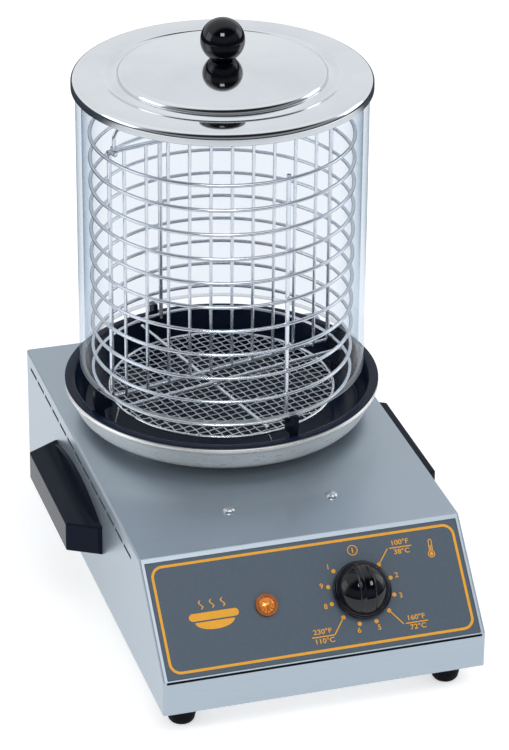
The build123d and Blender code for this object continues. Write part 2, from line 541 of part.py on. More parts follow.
def lid_body(radius, top_z, bottom_z, inset):
    """A domed cover with a groove and a rounded edge, `inset` inside the skin, filled below."""
    edge = LID_EDGE_RADIUS - inset
    shoulder = SHOULDER_RADIUS - 0.4 * inset
    inner, outer = GROOVE_INNER - 0.9 * inset, GROOVE_OUTER + 0.5 * inset
    dome_z, shoulder_z = top_z + LID_DOME, top_z + SHOULDER_HEIGHT
    half_way = ((SEAT_LAND + shoulder) / 2, shoulder_z + (dome_z - shoulder_z) * DOME_MIDDLE)
    outline = (Line((0, dome_z), (SEAT_LAND, dome_z))
               + ThreePointArc((SEAT_LAND, dome_z), half_way, (shoulder, shoulder_z))
               + ThreePointArc((shoulder, shoulder_z), (inner - 0.9, top_z + 2.9), (inner, top_z - 0.6))
               + ThreePointArc((inner, top_z - 0.6), ((inner + outer) / 2, top_z - GROOVE_DEPTH),
                               (outer - 1.6, top_z - 0.9))
               + ThreePointArc((outer - 1.6, top_z - 0.9), (outer - 0.9, top_z - 0.25), (outer, top_z))
               + Line((outer, top_z), (radius - edge, top_z))
               + ThreePointArc((radius - edge, top_z),
                               (radius - edge * (1 - DIAGONAL), top_z - edge * (1 - DIAGONAL)),
                               (radius, top_z - edge))
               + Line((radius, top_z - edge), (radius, bottom_z))
               + Line((radius, bottom_z), (0, bottom_z))
               + Line((0, bottom_z), (0, dome_z)))
    return revolve(Plane.XZ * make_face(outline), axis=Axis.Z)


LID_TOP_Z = GLASS_TOP_Z + LID_SHEET
LID_BOTTOM_Z = LID_TOP_Z - LID_SKIRT
lid = lid_body(LID_RADIUS, LID_TOP_Z, LID_BOTTOM_Z, 0.0)
lid -= lid_body(LID_RADIUS - LID_SHEET, GLASS_TOP_Z, LID_BOTTOM_Z - 5, LID_SHEET)
KNOB_SEAT_Z = LID_TOP_Z + LID_DOME
KNOB_SINK = 0.2              # the knob stands in a shallow press mark
lid -= disc(2.1, KNOB_SEAT_Z - 10, KNOB_SEAT_Z + 10)
lid -= disc(BALL_FLAT_RADIUS + 0.3, KNOB_SEAT_Z - KNOB_SINK, KNOB_SEAT_Z + 5)
save("lid", POT * lid)

BALL_Z = KNOB_SEAT_Z - KNOB_SINK + math.sqrt(BALL_RADIUS ** 2 - BALL_FLAT_RADIUS ** 2)
ball_knob = Pos(0, 0, BALL_Z) * Sphere(BALL_RADIUS)
ball_knob &= disc(BALL_RADIUS + 1, KNOB_SEAT_Z - KNOB_SINK, BALL_Z + BALL_RADIUS + 1)
ball_knob -= disc(2.1, KNOB_SEAT_Z - 2, KNOB_SEAT_Z + 14)
save("lid_knob", POT * ball_knob)
LID_UNDER_Z = KNOB_SEAT_Z - LID_SHEET
save("lid_knob_screw", POT * (disc(2.1, LID_UNDER_Z - 0.8, KNOB_SEAT_Z + 13)
                              + disc(4.2, LID_UNDER_Z - 3.2, LID_UNDER_Z - 0.8)))
save("lid_knob_washer", POT * disc(6.5, LID_UNDER_Z - 0.8, LID_UNDER_Z, 2.1))

# ---------------------------------------------------------------- wire basket
RING_LOW_Z = RING_TOP_Z - RING_PITCH * (RING_COUNT - 1)
POST_RADIUS = RING_RADIUS - RING_WIRE - POST_WIRE
POST_LOW_Z = RING_LOW_Z - RING_WIRE
POST_HIGH_Z = 311.6
PIVOT_Z = POST_HIGH_Z + POST_WIRE
FLOOR_Z = RING_LOW_Z - RING_WIRE - FLOOR_WIRE
FRONT_BAR = -17.0
CROSS_BAR = -14.6

save("basket_rings", *[BASKET * ring(RING_RADIUS, RING_TOP_Z - i * RING_PITCH, RING_WIRE)
                       for i in range(RING_COUNT)])
save("basket_posts", *[
    BASKET * Rot(0, 0, 90 * i) * rod((POST_RADIUS, 0, POST_LOW_Z), (POST_RADIUS, 0, POST_HIGH_Z), POST_WIRE)
    for i in range(4)])


def floor_bar(offset, z, across):
    """A straight bar under the lowest ring, along the divider or square to it."""
    reach = math.sqrt(RING_RADIUS ** 2 - offset ** 2)
    start, end = (-reach, offset, z), (reach, offset, z)
    if across:
        start, end = (offset, -reach, z), (offset, reach, z)
    return BASKET * rod(start, end, FLOOR_WIRE)


DIVIDER_BAR_REACH = POST_RADIUS - POST_WIRE
lower_rail = rod((-DIVIDER_BAR_REACH, 0, FLOOR_Z), (DIVIDER_BAR_REACH, 0, FLOOR_Z), FLOOR_WIRE)
RAIL_REACH = POST_RADIUS + 1.4
upper_rail = rod((-RAIL_REACH, 0, PIVOT_Z), (RAIL_REACH, 0, PIVOT_Z), POST_WIRE)
save("basket_floor_bars", floor_bar(FRONT_BAR, FLOOR_Z, False),
     floor_bar(CROSS_BAR, FLOOR_Z - 2 * FLOOR_WIRE, True))
save("divider_rails", BASKET * lower_rail, BASKET * upper_rail)
divider_wires = []
for i in range(DIVIDER_COUNT):
    t = (i - (DIVIDER_COUNT - 1) / 2) * DIVIDER_PITCH + DIVIDER_SHIFT
    # the wires stand on the front side of both rails and touch them
    low = (t, -FLOOR_WIRE - DIVIDER_WIRE, FLOOR_Z - 0.8)
    high = (t, -POST_WIRE - DIVIDER_WIRE, PIVOT_Z + 0.8)
    divider_wires.append(BASKET * rod(low, high, DIVIDER_WIRE))
save("divider_wires", *divider_wires)

# carrying bail, hung by an eye at each end on the upper rail
EYE_RADIUS = POST_WIRE + EYE_CLEARANCE + BAIL_WIRE
EYE_TOP_Z = PIVOT_Z + EYE_RADIUS
bail = bent_wire([(-BAIL_ARM_T, 0, EYE_TOP_Z), (-BAIL_ARM_T, 0, EYE_TOP_Z + 10.0), (-60.0, 0, BAIL_TOP_Z),
                  (60.0, 0, BAIL_TOP_Z), (BAIL_ARM_T, 0, EYE_TOP_Z + 10.0), (BAIL_ARM_T, 0, EYE_TOP_Z)],
                 [8.0, 20.0, 20.0, 8.0], BAIL_WIRE)
for side in (-1, 1):
    bail += Pos(side * BAIL_ARM_T, 0, PIVOT_Z) * Rot(0, 90, 0) * Torus(EYE_RADIUS, BAIL_WIRE)
save("bail_handle", BASKET * bail)

# ---------------------------------------------------------------- wire grid in the pan
grid_ring_radius = GRID_RADIUS - GRID_RIM_WIRE
save("grid_rim", BASKET * ring(grid_ring_radius, GRID_Z, GRID_RIM_WIRE))
wire_reach = grid_ring_radius - GRID_RIM_WIRE - 0.1


def grid_layer(z, across):
    """One direction of the grid's wires, cut to fit inside the rim."""
    half_count = int(wire_reach / GRID_PITCH)
    wires = []
    for i in range(-half_count, half_count + 1):
        offset = i * GRID_PITCH
        reach = math.sqrt(wire_reach ** 2 - (abs(offset) + GRID_WIRE) ** 2)
        if across:
            wires.append(BASKET * rod((offset, -reach, z), (offset, reach, z), GRID_WIRE))
        else:
            wires.append(BASKET * rod((-reach, offset, z), (reach, offset, z), GRID_WIRE))
    return wires


save("grid_wires_long", *grid_layer(GRID_Z + GRID_WIRE, False))
save("grid_wires_cross", *grid_layer(GRID_Z - GRID_WIRE, True))
LEG_TURN = -6.0
LEG_SPLAY = 3.2
leg_top = GRID_Z - GRID_RIM_WIRE - 0.9
save("grid_legs", *[
    BASKET * Rot(0, 0, 90 * i + LEG_TURN) * rod((grid_ring_radius - 0.6, 0, leg_top),
                                              (grid_ring_radius + 4.0, LEG_SPLAY, PAN_FLOOR_Z + 0.45), 1.0)
    for i in range(GRID_LEGS)])

print("overall width", 2 * (HALF_WIDTH + HANDLE_REACH),
      "height", round(DATUM_Z + BALL_Z + BALL_RADIUS, 2))
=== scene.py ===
"""Looks for the hot dog steamer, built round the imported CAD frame.  Metres, +Z up."""
import json
import math

import bmesh
import bpy
from mathutils import Matrix, Vector

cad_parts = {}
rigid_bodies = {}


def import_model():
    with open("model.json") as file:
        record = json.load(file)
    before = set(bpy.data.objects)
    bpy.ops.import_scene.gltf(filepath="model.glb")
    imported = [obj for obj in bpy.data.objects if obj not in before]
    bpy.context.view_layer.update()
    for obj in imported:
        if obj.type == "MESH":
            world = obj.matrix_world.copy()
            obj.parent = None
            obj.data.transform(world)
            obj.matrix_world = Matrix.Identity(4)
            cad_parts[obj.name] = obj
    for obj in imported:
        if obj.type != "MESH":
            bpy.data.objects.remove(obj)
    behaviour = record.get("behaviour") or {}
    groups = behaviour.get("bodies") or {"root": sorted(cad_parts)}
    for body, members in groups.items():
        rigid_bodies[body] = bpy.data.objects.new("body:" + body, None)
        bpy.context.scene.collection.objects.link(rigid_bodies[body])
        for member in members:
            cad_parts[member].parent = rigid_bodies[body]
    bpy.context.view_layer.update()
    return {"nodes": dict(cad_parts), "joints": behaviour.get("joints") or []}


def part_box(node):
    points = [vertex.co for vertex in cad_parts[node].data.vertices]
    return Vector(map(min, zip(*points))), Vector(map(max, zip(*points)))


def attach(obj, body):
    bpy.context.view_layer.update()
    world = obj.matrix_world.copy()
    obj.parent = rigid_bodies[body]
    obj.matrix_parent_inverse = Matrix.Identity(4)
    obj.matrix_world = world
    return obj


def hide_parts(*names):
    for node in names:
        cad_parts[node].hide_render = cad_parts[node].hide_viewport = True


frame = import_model()
MM = 0.001
SQUARE_ROOT_HALF = math.sqrt(0.5)
ON_AXIS = 1e-9               # a smaller radius counts as none


# ---------------------------------------------------------------- places read from the frame
def joint_point(name):
    """The rest position of one joint, in metres."""
    return Vector(next(j["pos_m"] for j in frame["joints"] if j["name"] == name))


def joint_axis(name):
    """The unit axis of one joint."""
    return Vector(next(j["axis"] for j in frame["joints"] if j["name"] == name)).normalized()


glass_low, glass_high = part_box("glass_cylinder")
housing_low, housing_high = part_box("housing")
POT = Vector(((glass_low.x + glass_high.x) / 2, (glass_low.y + glass_high.y) / 2, 0))
bail_axis = joint_axis("bail_swing")
BASKET_TURN = math.atan2(bail_axis.y, bail_axis.x)
BASKET = Matrix.Translation(POT) @ Matrix.Rotation(BASKET_TURN, 4, "Z")

# control face: x along the machine, t up the slope from the skirt, n out of the face
dial_point = joint_point("dial_turn")
FACE_OUT = -joint_axis("dial_turn")
FACE_UP = Vector((0, SQUARE_ROOT_HALF, SQUARE_ROOT_HALF))
skirt_y = housing_low.y
FACE_ORIGIN = dial_point - FACE_UP * ((dial_point.y - skirt_y) / SQUARE_ROOT_HALF)
FACE_ORIGIN.x = 0
FACE = Matrix.Translation(FACE_ORIGIN) @ Matrix((
    (1, 0, 0, 0), (0, FACE_UP.y, FACE_OUT.y, 0), (0, FACE_UP.z, FACE_OUT.z, 0), (0, 0, 0, 1)))
FASCIA_N = -0.2 * MM         # front of the printed plate, just under the steel round it
KNOB_BASE_N = 2.0 * MM
DIAL_X = dial_point.x / MM
DIAL_T = (dial_point - FACE_ORIGIN).dot(FACE_UP) / MM
lamp_low, lamp_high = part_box("lamp_bezel")
LAMP_X = (lamp_low.x + lamp_high.x) / 2 / MM
LAMP_T = DIAL_T


# ---------------------------------------------------------------- mesh helpers
def finish_mesh(name, mesh_data, smooth_angle=None):
    """Links a bmesh as an object with outward normals and smooth shading up to an angle."""
    bmesh.ops.recalc_face_normals(mesh_data, faces=mesh_data.faces)
    mesh = bpy.data.meshes.new(name)
    mesh_data.to_mesh(mesh)
    mesh_data.free()
    piece = bpy.data.objects.new(name, mesh)
    bpy.context.scene.collection.objects.link(piece)
    for face in mesh.polygons:
        face.use_smooth = True
    if smooth_angle is not None:
        mesh.set_sharp_from_angle(angle=math.radians(smooth_angle))
    return piece


def lathe(target, profile, steps, place):
    """Turns a closed list of (radius, height) metres about the Z axis of `place`, into a bmesh."""
    columns = []
    for k in range(steps):
        angle = 2 * math.pi * k / steps
        columns.append([None if r < ON_AXIS else
                        target.verts.new(place @ Vector((r * math.cos(angle), r * math.sin(angle), z)))
                        for r, z in profile])
    poles = {i: target.verts.new(place @ Vector((0, 0, z)))
             for i, (r, z) in enumerate(profile) if r < ON_AXIS}
    for k in range(steps):
        here, there = columns[k], columns[(k + 1) % steps]
        for i in range(len(profile)):
            j = (i + 1) % len(profile)
            corners = []
            for column, row in ((here, i), (there, i), (there, j), (here, j)):
                vertex = column[row] or poles[row]
                if vertex not in corners:
                    corners.append(vertex)
            if len(corners) > 2:
                target.faces.new(corners)


def ring(target, place, radius, heights):
    """A circle of points about the Z axis of `place`, one for each height, in millimetres."""
    points = []
    for k, height in enumerate(heights):
        angle = 2 * math.pi * k / len(heights)
        point = Vector((radius * math.cos(angle) * MM, radius * math.sin(angle) * MM, height * MM))
        points.append(target.verts.new(place @ point))
    return points


def pole(target, place, height, steps):
    """The one point that stands for a circle of no radius."""
    return [target.verts.new(place @ Vector((0, 0, height * MM)))] * steps


def skin_rings(target, rings):
    """Faces from each ring of points to the next."""
    for inner, outer in zip(rings, rings[1:]):
        for k in range(len(inner)):
            after = (k + 1) % len(inner)
            corners = []
            for vertex in (inner[k], outer[k], outer[after], inner[after]):
                if vertex not in corners:
                    corners.append(vertex)
            target.faces.new(corners)


def arc(centre, radius, start, end, steps):
    """Points of an arc in the (radius, height) plane, angles in degrees."""
    points = []
    for k in range(steps + 1):
        angle = math.radians(start + (end - start) * k / steps)
        points.append((centre[0] + radius * math.cos(angle), centre[1] + radius * math.sin(angle)))
    return points


def tube(target, path, radius, sides):
    """A round wire with flat ends along a list of points, into a bmesh."""
    loops = []
    side = None
    for i, point in enumerate(path):
        along = (path[min(i + 1, len(path) - 1)] - path[max(i - 1, 0)]).normalized()
        if side is None:
            side = along.orthogonal().normalized()
        side = (side - along * side.dot(along)).normalized()
        other = along.cross(side)
        loops.append([])
        for k in range(sides):
            angle = 2 * math.pi * k / sides
            away = (side * math.cos(angle) + other * math.sin(angle)) * radius
            loops[-1].append(target.verts.new(point + away))
    for here, there in zip(loops, loops[1:]):
        for k in range(sides):
            target.faces.new((here[k], here[(k + 1) % sides], there[(k + 1) % sides], there[k]))
    target.faces.new(list(reversed(loops[0])))
    target.faces.new(loops[-1])


def prism(target, outline, depth, place, base=0.0):
    """A flat plate from a closed (x, y) outline in metres, `depth` thick, set by `place`."""
    low = [target.verts.new(place @ Vector((x, y, base))) for x, y in outline]
    high = [target.verts.new(place @ Vector((x, y, base + depth))) for x, y in outline]
    target.faces.new(list(reversed(low)))
    target.faces.new(high)
    for i in range(len(outline)):
        j = (i + 1) % len(outline)
        target.faces.new((low[i], low[j], high[j], high[i]))


# ---------------------------------------------------------------- materials
def material(name, color, metallic=0.0, **sockets):
    """A Principled material with its even values set on the shader's own sockets."""
    made = bpy.data.materials.new(name)
    made.use_nodes = True
    shader = made.node_tree.nodes["Principled BSDF"]
    shader.inputs["Base Color"].default_value = (*color, 1)
    shader.inputs["Metallic"].default_value = metallic
    for socket, value in sockets.items():
        shader.inputs[socket.replace("_", " ")].default_value = value
    return made


def add_noise(nodes, scale, detail, roughness=0.5):
    """A noise texture node."""
    noise = nodes.new("ShaderNodeTexNoise")
    noise.inputs["Scale"].default_value = scale
    noise.inputs["Detail"].default_value = detail
    noise.inputs["Roughness"].default_value = roughness
    return noise


def add_ramp(nodes, stops):
    """A colour ramp node with the given (position, colour) stops."""
    made = nodes.new("ShaderNodeValToRGB")
    while len(made.color_ramp.elements) < len(stops):
        made.color_ramp.elements.new(0.5)
    for element, (position, color) in zip(made.color_ramp.elements, stops):
        element.position = position
        element.color = (*color, 1)
    return made


def add_range(nodes, from_low, from_high, to_low, to_high):
    """A node that maps one range of values onto another."""
    made = nodes.new("ShaderNodeMapRange")
    for socket, value in (("From Min", from_low), ("From Max", from_high), ("To Min", to_low),
                          ("To Max", to_high)):
        made.inputs[socket].default_value = value
    return made


def vary(made, noise, color_a, color_b, rough_low, rough_high):
    """Lets a noise move a material's colour and roughness between two values each."""
    nodes, links = made.node_tree.nodes, made.node_tree.links
    shader = nodes["Principled BSDF"]
    low, high = 0.3, 0.7
    colors = add_ramp(nodes, ((low, color_a), (high, color_b)))
    links.new(noise.outputs["Fac"], colors.inputs["Fac"])
    links.new(colors.outputs["Color"], shader.inputs["Base Color"])
    rough = add_range(nodes, low, high, rough_low, rough_high)
    links.new(noise.outputs["Fac"], rough.inputs["Value"])
    links.new(rough.outputs["Result"], shader.inputs["Roughness"])


def grain(made, scale, stretch, color_a, color_b, rough_low, rough_high, bump=0.0):
    """Adds a stretched noise that varies colour, roughness and height."""
    nodes, links = made.node_tree.nodes, made.node_tree.links
    place = nodes.new("ShaderNodeTexCoord")
    mapping = nodes.new("ShaderNodeMapping")
    mapping.inputs["Scale"].default_value = stretch
    noise = add_noise(nodes, scale, 3.0, 0.6)
    links.new(place.outputs["Object"], mapping.inputs["Vector"])
    links.new(mapping.outputs["Vector"], noise.inputs["Vector"])
    vary(made, noise, color_a, color_b, rough_low, rough_high)
    if bump:
        height = nodes.new("ShaderNodeBump")
        height.inputs["Strength"].default_value = 1.0
        height.inputs["Distance"].default_value = bump
        links.new(noise.outputs["Fac"], height.inputs["Height"])
        links.new(height.outputs["Normal"], nodes["Principled BSDF"].inputs["Normal"])
    return made


def brushed(made, color_a, color_b, rough_low, rough_high):
    """Fine lines along the sheet: left to right, but front to back on the side walls."""
    nodes, links = made.node_tree.nodes, made.node_tree.links
    place = nodes.new("ShaderNodeTexCoord")
    surface = nodes.new("ShaderNodeNewGeometry")
    facing = nodes.new("ShaderNodeSeparateXYZ")
    links.new(surface.outputs["True Normal"], facing.inputs["Vector"])
    sideways = nodes.new("ShaderNodeMath")
    sideways.operation = "ABSOLUTE"
    links.new(facing.outputs["X"], sideways.inputs[0])
    is_side = nodes.new("ShaderNodeMath")
    is_side.operation = "GREATER_THAN"
    is_side.inputs[1].default_value = 0.6
    links.new(sideways.outputs["Value"], is_side.inputs[0])
    pick = nodes.new("ShaderNodeMix")
    pick.data_type = "VECTOR"
    links.new(is_side.outputs["Value"], pick.inputs["Factor"])
    along, across = 2.0, 150.0
    # the Mix node's vector inputs are its sockets 4 and 5, and its vector output is 1
    for socket, stretch in ((4, (along, across, across)), (5, (across, along, across))):
        mapping = nodes.new("ShaderNodeMapping")
        mapping.inputs["Scale"].default_value = stretch
        links.new(place.outputs["Object"], mapping.inputs["Vector"])
        links.new(mapping.outputs["Vector"], pick.inputs[socket])
    noise = add_noise(nodes, 14.0, 5.0, 0.7)
    links.new(pick.outputs[1], noise.inputs["Vector"])
    vary(made, noise, color_a, color_b, rough_low, rough_high)
    return made


satin_steel = brushed(material("satin_steel", (0.42, 0.49, 0.55), 0.72),
                      (0.36, 0.425, 0.49), (0.40, 0.465, 0.53), 0.28, 0.34)
inner_steel = grain(material("galvanised_steel", (0.5, 0.52, 0.54), 1.0),
                    90, (1, 1, 1), (0.42, 0.44, 0.46), (0.60, 0.62, 0.64), 0.35, 0.5, 0.00002)
mirror_steel = grain(material("mirror_steel", (0.8, 0.82, 0.84), 1.0),
                     25, (1, 1, 1), (0.74, 0.78, 0.82), (0.80, 0.83, 0.86), 0.05, 0.09)
skirt_steel = grain(material("skirt_steel", (0.5, 0.52, 0.55), 1.0),
                    40, (1, 1, 0.1), (0.50, 0.53, 0.56), (0.56, 0.59, 0.62), 0.16, 0.24)
wire_steel = grain(material("wire_steel", (0.72, 0.76, 0.80), 1.0),
                   160, (1, 1, 0.25), (0.80, 0.83, 0.87), (0.88, 0.91, 0.94), 0.20, 0.27)
mesh_wire = grain(material("mesh_wire", (0.85, 0.88, 0.9), 1.0),
                  260, (1, 1, 1), (0.82, 0.86, 0.89), (0.90, 0.92, 0.94), 0.30, 0.40)
spun_steel = grain(material("spun_steel", (0.9, 0.9, 0.9), 0.68),
                   60, (1, 1, 14), (0.82, 0.83, 0.82), (0.90, 0.91, 0.90), 0.26, 0.36)
screw_steel = grain(material("screw_steel", (0.7, 0.7, 0.7), 1.0),
                    220, (1, 1, 1), (0.55, 0.57, 0.60), (0.75, 0.77, 0.80), 0.18, 0.32, 0.00001)
slate_print = grain(material("slate_print", (0.1, 0.13, 0.16), 0.0, Specular_IOR_Level=0.3),
                    400, (1, 1, 1), (0.070, 0.100, 0.134), (0.080, 0.112, 0.148), 0.40, 0.48)
orange_ink = grain(material("orange_ink", (0.8, 0.36, 0.03), 0.0, Specular_IOR_Level=0.2),
                   500, (1, 1, 1), (0.76, 0.345, 0.020), (0.82, 0.385, 0.028), 0.4, 0.5)
black_plastic = grain(material("black_plastic", (0.006, 0.010, 0.022), 0.0, Specular_IOR_Level=0.06),
                      900, (1, 1, 1), (0.005, 0.009, 0.018), (0.008, 0.012, 0.024), 0.12, 0.18)
black_gloss = grain(material("black_gloss", (0.002, 0.003, 0.006), 0.0, Specular_IOR_Level=0.4),
                    300, (1, 1, 1), (0.0015, 0.002, 0.005), (0.003, 0.004, 0.008), 0.04, 0.07)
pan_coating = grain(material("pan_coating", (0.004, 0.008, 0.020), 0.0, Specular_IOR_Level=0.09),
                    1200, (1, 1, 1), (0.004, 0.009, 0.024), (0.007, 0.014, 0.034), 0.16, 0.24)
rubber = grain(material("rubber", (0.003, 0.003, 0.004), 0.0, Specular_IOR_Level=0.08),
               700, (1, 1, 1), (0.002, 0.002, 0.003), (0.005, 0.005, 0.006), 0.5, 0.7)
cast_aluminium = grain(material("cast_aluminium", (0.55, 0.56, 0.57), 1.0),
                       500, (1, 1, 1), (0.48, 0.49, 0.50), (0.58, 0.59, 0.60), 0.35, 0.55, 0.00005)
brown_insulator = grain(material("brown_insulator", (0.09, 0.06, 0.04)),
                        400, (1, 1, 1), (0.07, 0.05, 0.035), (0.11, 0.075, 0.05), 0.45, 0.6, 0.00003)
porcelain = grain(material("porcelain", (0.75, 0.72, 0.66), Coat_Weight=0.3, Coat_Roughness=0.1),
                  300, (1, 1, 1), (0.70, 0.67, 0.60), (0.80, 0.77, 0.71), 0.3, 0.45, 0.00002)
mica = grain(material("mica_gasket", (0.35, 0.33, 0.3)),
             600, (1, 1, 1), (0.28, 0.26, 0.24), (0.42, 0.40, 0.37), 0.6, 0.8, 0.00005)
copper = grain(material("copper", (0.75, 0.42, 0.28), 1.0),
               300, (1, 1, 1), (0.68, 0.36, 0.23), (0.80, 0.48, 0.34), 0.2, 0.38)
brass = grain(material("brass", (0.75, 0.58, 0.28), 1.0),
              300, (1, 1, 1), (0.70, 0.54, 0.25), (0.80, 0.64, 0.33), 0.2, 0.35)
amber = grain(material("amber_lens", (0.8, 0.25, 0.03), 0.75, Coat_Weight=0.5, Coat_Roughness=0.06),
              260, (1, 1, 1), (0.75, 0.20, 0.02), (0.90, 0.32, 0.05), 0.18, 0.28)
amber_rim = grain(material("amber_rim", (0.35, 0.10, 0.02), 0.8),
                  260, (1, 1, 1), (0.15, 0.04, 0.008), (0.22, 0.07, 0.015), 0.2, 0.3)
# near-black colour of the boards behind the side slots: painted shade seen through the slots
slot_shade_dark = grain(material("painted_slot_shade", (0.01, 0.011, 0.012)),
             240, (1, 1, 1), (0.006, 0.007, 0.008), (0.016, 0.017, 0.018), 0.85, 0.95, 0.00008)


def see_through(name, at_edge, shine, veil):
    """Thin clear glass: straight through, tinted and more mirror-like towards its outline."""
    face_on, milky = (0.925, 0.935, 0.950), (0.80, 0.86, 0.88)
    made = bpy.data.materials.new(name)
    made.use_nodes = True
    nodes, links = made.node_tree.nodes, made.node_tree.links
    nodes.remove(nodes["Principled BSDF"])
    weight = nodes.new("ShaderNodeLayerWeight")
    weight.inputs["Blend"].default_value = 0.5
    tint = add_ramp(nodes, ((0.5, face_on), (0.95, at_edge)))
    links.new(weight.outputs["Facing"], tint.inputs["Fac"])
    clear = nodes.new("ShaderNodeBsdfTransparent")
    links.new(tint.outputs["Color"], clear.inputs["Color"])
    rise = nodes.new("ShaderNodeMath")
    rise.operation = "POWER"
    rise.inputs[1].default_value = 7.0
    links.new(weight.outputs["Facing"], rise.inputs[0])
    amount = add_range(nodes, 0.0, 1.0, 0.0, shine)
    links.new(rise.outputs["Value"], amount.inputs["Value"])
    place = nodes.new("ShaderNodeTexCoord")
    marks = add_noise(nodes, 14.0, 4.0)
    links.new(place.outputs["Object"], marks.inputs["Vector"])
    spread = add_range(nodes, 0.45, 0.8, 0.01, 0.05)
    links.new(marks.outputs["Fac"], spread.inputs["Value"])
    mirror = nodes.new("ShaderNodeBsdfGlossy")
    mirror.inputs["Color"].default_value = (0.95, 0.97, 1.0, 1)
    links.new(spread.outputs["Result"], mirror.inputs["Roughness"])
    pair = nodes.new("ShaderNodeMixShader")
    links.new(amount.outputs["Result"], pair.inputs["Fac"])
    links.new(clear.outputs["BSDF"], pair.inputs[1])
    links.new(mirror.outputs["BSDF"], pair.inputs[2])
    last = pair.outputs["Shader"]
    if veil:
        milk = nodes.new("ShaderNodeBsdfDiffuse")
        milk.inputs["Color"].default_value = (*milky, 1)
        cover = nodes.new("ShaderNodeMixShader")
        cover.inputs["Fac"].default_value = veil
        links.new(last, cover.inputs[1])
        links.new(milk.outputs["BSDF"], cover.inputs[2])
        last = cover.outputs["Shader"]
    links.new(last, nodes["Material Output"].inputs["Surface"])
    return made


clear_glass = see_through("clear_glass", (0.78, 0.83, 0.88), 0.5, 0.0)
glass_edge = see_through("glass_edge", (0.75, 0.80, 0.83), 0.6, 0.35)

DRESS = {
    "satin_steel": (satin_steel, ["housing"]),
    "inner_steel": (inner_steel, ["base_plate", "control_bracket", "heating_element", "element_clamp",
                                  "heat_shield", "heat_baffle"]),
    "mirror_steel": (mirror_steel, ["lid", "pan_ring"]),
    "wire_steel": (wire_steel, ["basket_rings", "basket_posts", "basket_floor_bars", "divider_rails",
                                "divider_wires", "bail_handle", "grid_rim", "grid_wires_long",
                                "grid_wires_cross", "grid_legs"]),
    "screws": (screw_steel, ["base_plate_screws", "foot_screws", "foot_nuts", "handle_screws",
                             "thermostat_screws", "thermostat_shaft", "hot_plate_studs",
                             "hot_plate_nuts", "top_screws", "top_screw_nuts", "lid_knob_screw"]),
    "slate": (slate_print, ["fascia_plate"]),
    "plastic": (black_plastic, ["left_handle", "right_handle", "glass_rests", "cable_gland", "gland_nut"]),
    "gloss": (black_gloss, ["control_knob", "lid_knob"]),
    "lamp_rim": (amber_rim, ["lamp_bezel"]),
    "coating": (pan_coating, ["water_pan"]),
    "rubber": (rubber, ["feet", "seam_gasket"]),
    "aluminium": (cast_aluminium, ["hot_plate"]),
    "insulator": (brown_insulator, ["thermostat_body", "lamp_body", "lamp_nut"]),
    "porcelain": (porcelain, ["thermal_cutout", "terminal_block"]),
    "mica": (mica, ["hot_plate_gasket", "lid_knob_washer"]),
    "copper": (copper, ["thermostat_bulb", "thermostat_capillary"]),
    "brass": (brass, ["terminal_screws"]),
    "amber": (amber, ["lamp_lens"]),
    "glass": (clear_glass, ["glass_cylinder"]),
}


def paint(piece, made):
    """Gives a piece one material."""
    piece.data.materials.clear()
    piece.data.materials.append(made)


for made, names in DRESS.values():
    for node_name in names:
        paint(frame["nodes"][node_name], made)


def add_piece(name, mesh_data, made, body, stands_for=(), smooth_angle=40):
    """Links one new piece, paints it, rides it on its body and hides the parts it replaces."""
    piece = finish_mesh(name, mesh_data, smooth_angle)
    paint(piece, made)
    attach(piece, body)
    if stands_for:
        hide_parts(*stands_for)
    return piece


# ---------------------------------------------------------------- printed fascia
PRINT_BASE = FASCIA_N
PRINT_THICK = 0.06 * MM
DOT_CIRCLE = 22.6            # radius of the ring of dots round the dial, in millimetres
CAPITAL_SHARE = 0.7          # of a letter's nominal size
BOLDER = 0.02                # each outline grows by this share of the height


def face_path(points):
    """Millimetres on the control face, as metres."""
    return [(x * MM, t * MM) for x, t in points]


def printed(target, outline):
    """One patch of ink from a closed outline in millimetres."""
    prism(target, face_path(outline), PRINT_THICK, FACE, PRINT_BASE)


def rounded_rectangle(half_x, low_t, high_t, radius):
    """Outline of the printed border, corner by corner."""
    points = []
    for cx, ct, start in ((half_x - radius, high_t - radius, 0), (-half_x + radius, high_t - radius, 90),
                          (-half_x + radius, low_t + radius, 180), (half_x - radius, low_t + radius, 270)):
        points += arc((cx, ct), radius, start, start + 90, 10)
    return points


def band(target, outer, inner):
    """A closed printed strip between two outlines that have the same number of points."""
    count = len(outer)
    rows = []
    for outline, base in ((outer, 0), (outer, PRINT_THICK), (inner, PRINT_THICK), (inner, 0)):
        rows.append([target.verts.new(FACE @ Vector((x, t, PRINT_BASE + base)))
                     for x, t in face_path(outline)])
    for i in range(count):
        j = (i + 1) % count
        for a, b in ((0, 1), (1, 2), (2, 3), (3, 0)):
            target.faces.new((rows[a][i], rows[a][j], rows[b][j], rows[b][i]))


def stroke(target, x0, t0, x1, t1, width):
    """A straight printed line."""
    along = Vector((x1 - x0, t1 - t0)).normalized()
    side = Vector((-along.y, along.x)) * width / 2
    corners = [(x0 - side.x, t0 - side.y), (x1 - side.x, t1 - side.y),
               (x1 + side.x, t1 + side.y), (x0 + side.x, t0 + side.y)]
    printed(target, corners)


def dot(target, x, t, radius):
    """A printed spot."""
    printed(target, arc((x, t), radius, 0, 345, 23))


def hoop(target, x, t, radius, width):
    """A printed ring."""
    band(target, arc((x, t), radius + width / 2, 0, 354, 59), arc((x, t), radius - width / 2, 0, 354, 59))


